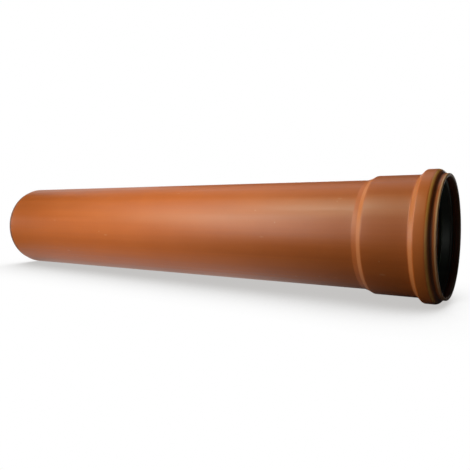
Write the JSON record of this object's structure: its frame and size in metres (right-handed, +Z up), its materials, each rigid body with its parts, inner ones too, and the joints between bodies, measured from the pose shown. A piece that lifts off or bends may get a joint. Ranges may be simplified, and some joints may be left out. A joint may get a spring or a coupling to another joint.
{
  "type": "single socket drain pipe",
  "caption": "Straight plastic drain pipe with a chamfered plain end and a belled push-fit socket whose groove holds a rubber lip seal, for joining sewer and drain runs.",
  "frame": {"origin": "on the floor under the middle of the pipe, where the socket's bead and the plain end rest on it at Z = 0", "axes": "+X along the pipe, towards the socket's mouth, +Z up; the pipe's own axis rises 0.886 degrees towards the mouth, because the bead is wider than the barrel"},
  "size_m": [0.6017, 0.1278, 0.1278],
  "materials": {
    "pipe_plastic": "orange-brown unplasticised vinyl, smooth as extruded, with a satin sheen",
    "seal_rubber": "black moulded rubber, smooth and slightly satin"
  },
  "bodies": {
    "root": {"pipe": "pipe_plastic", "sealing_ring": "seal_rubber"}
  },
  "joints": []
}
